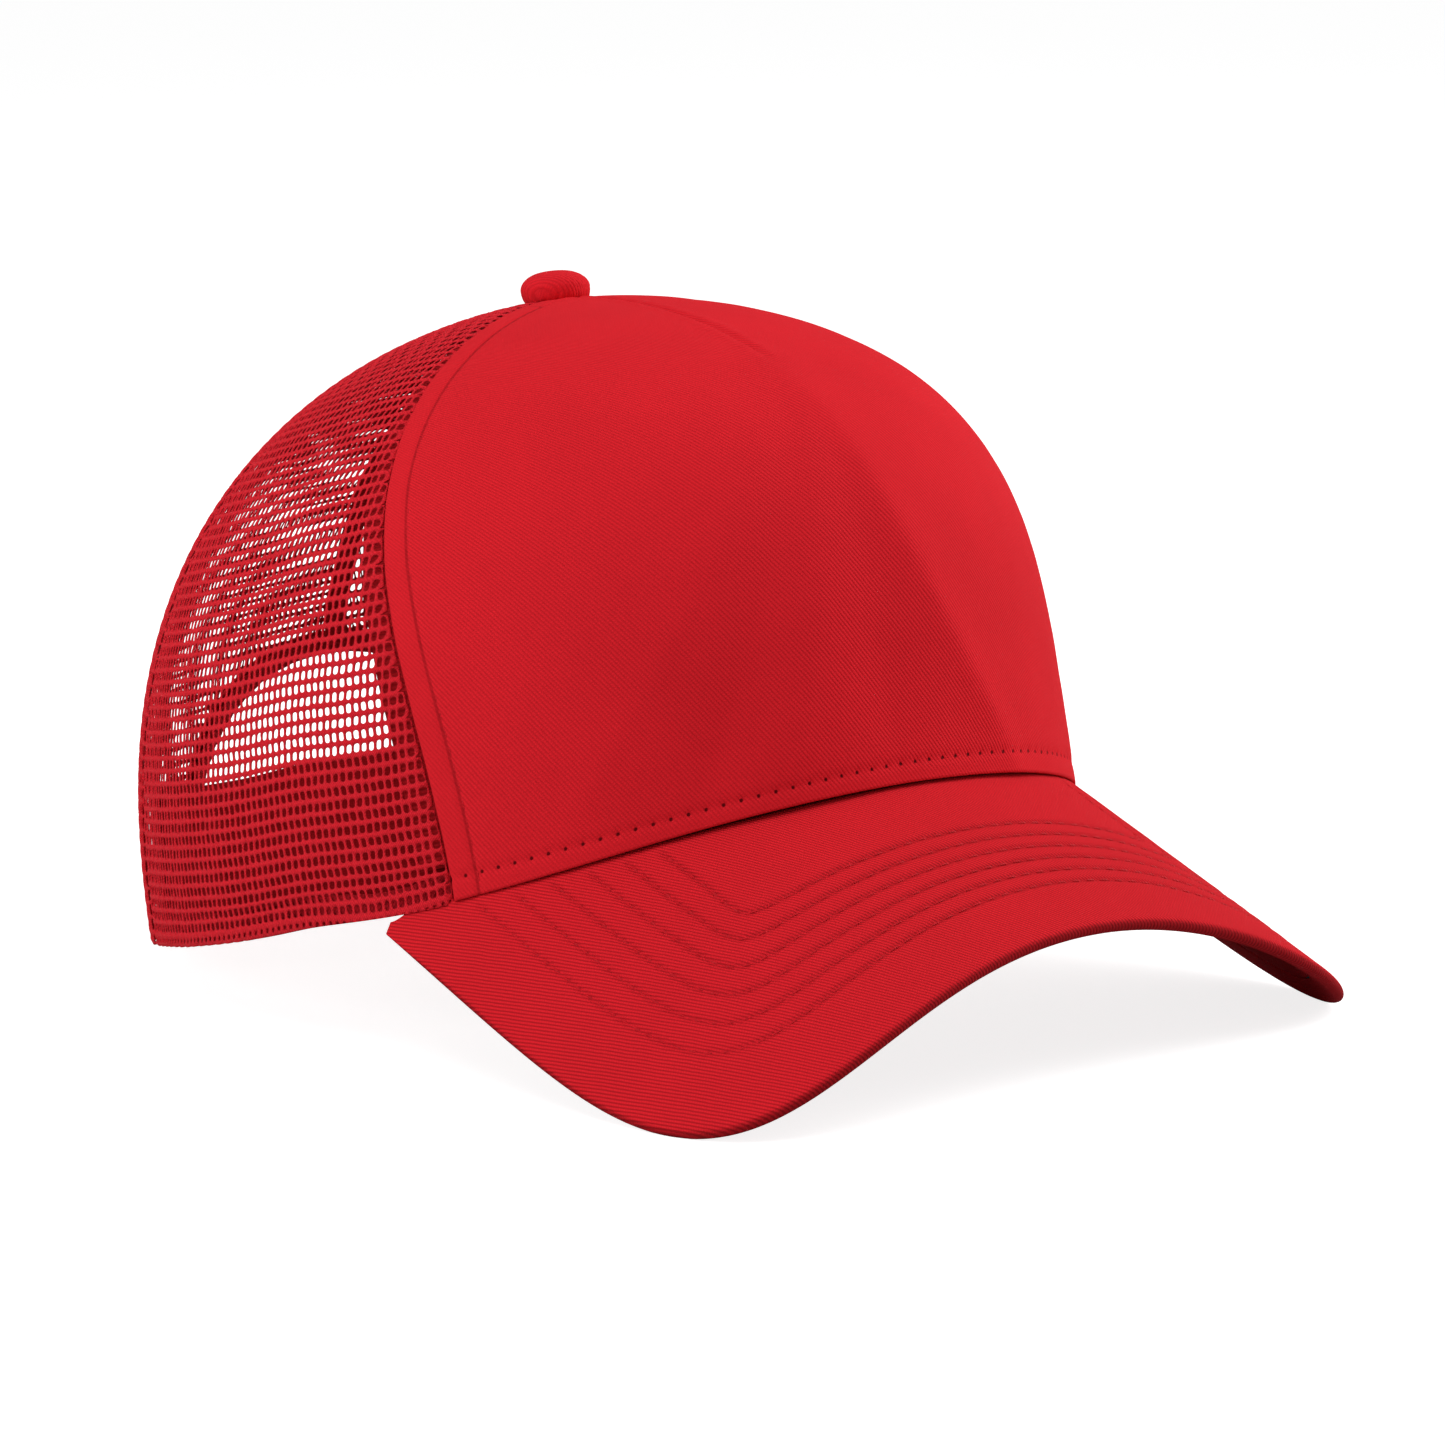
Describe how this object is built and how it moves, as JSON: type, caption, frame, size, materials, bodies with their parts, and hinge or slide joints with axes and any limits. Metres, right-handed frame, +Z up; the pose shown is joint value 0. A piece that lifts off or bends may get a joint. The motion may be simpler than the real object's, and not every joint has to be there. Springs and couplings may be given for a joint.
{
  "type": "trucker mesh cap",
  "caption": "Trucker cap with a stiffened twill front, mesh sides and back, a curved visor and a two-piece plastic snap strap.",
  "frame": {"origin": "centre of the overall bounding box in plan, on the table plane the cap rests on", "axes": "+Z up, front of the cap and visor towards -Y, wearer's left towards +X; the cap rests on the visor's two corners and the back of its hem"},
  "size_m": [0.1768, 0.2498, 0.1377],
  "materials": {
    "front_twill": "brushed cotton twill, fine diagonal weave",
    "visor_twill": "cotton twill over board, six rows of stitching",
    "mesh_knit": "polyester warp-knit mesh with oval holes",
    "seam_ribbon": "woven polyester ribbon",
    "sweatband_cotton": "plain cotton twill",
    "buckram": "stiff open-weave buckram",
    "visor_plastic": "moulded polyethylene sheet",
    "strap_plastic": "moulded polyethylene, satin",
    "button_steel": "plated pressed steel"
  },
  "bodies": {
    "crown": {"front_panel": "front_twill", "front_buckram": "buckram", "side_mesh_left": "mesh_knit", "side_mesh_right": "mesh_knit", "rear_mesh_left": "mesh_knit", "rear_mesh_right": "mesh_knit", "front_seam_tape_left": "seam_ribbon", "front_seam_tape_right": "seam_ribbon", "rear_seam_tape_left": "seam_ribbon", "rear_seam_tape_right": "seam_ribbon", "centre_seam_tape": "seam_ribbon", "arch_binding": "seam_ribbon", "sweatband": "sweatband_cotton", "visor_top_cover": "visor_twill", "visor_board": "visor_plastic", "visor_bottom_cover": "visor_twill", "button_cover": "front_twill", "button_shell": "button_steel", "button_shank": "button_steel", "button_washer": "button_steel"},
    "hole_strap_half": {"hole_strap": "strap_plastic"},
    "peg_strap_half": {"peg_strap": "strap_plastic"}
  },
  "joints": [
    {"name": "hole_strap_flex", "type": "hinge", "parent": "crown", "child": "hole_strap_half", "pos_m": [0.0403, 0.1118, 0.01197], "axis": [0, -0.1871, -0.9823], "range_deg": [0, 65]},
    {"name": "peg_strap_flex", "type": "hinge", "parent": "crown", "child": "peg_strap_half", "pos_m": [-0.03951, 0.11043, 0.01223], "axis": [0, -0.1871, -0.9823], "range_deg": [0, 40]}
  ]
}
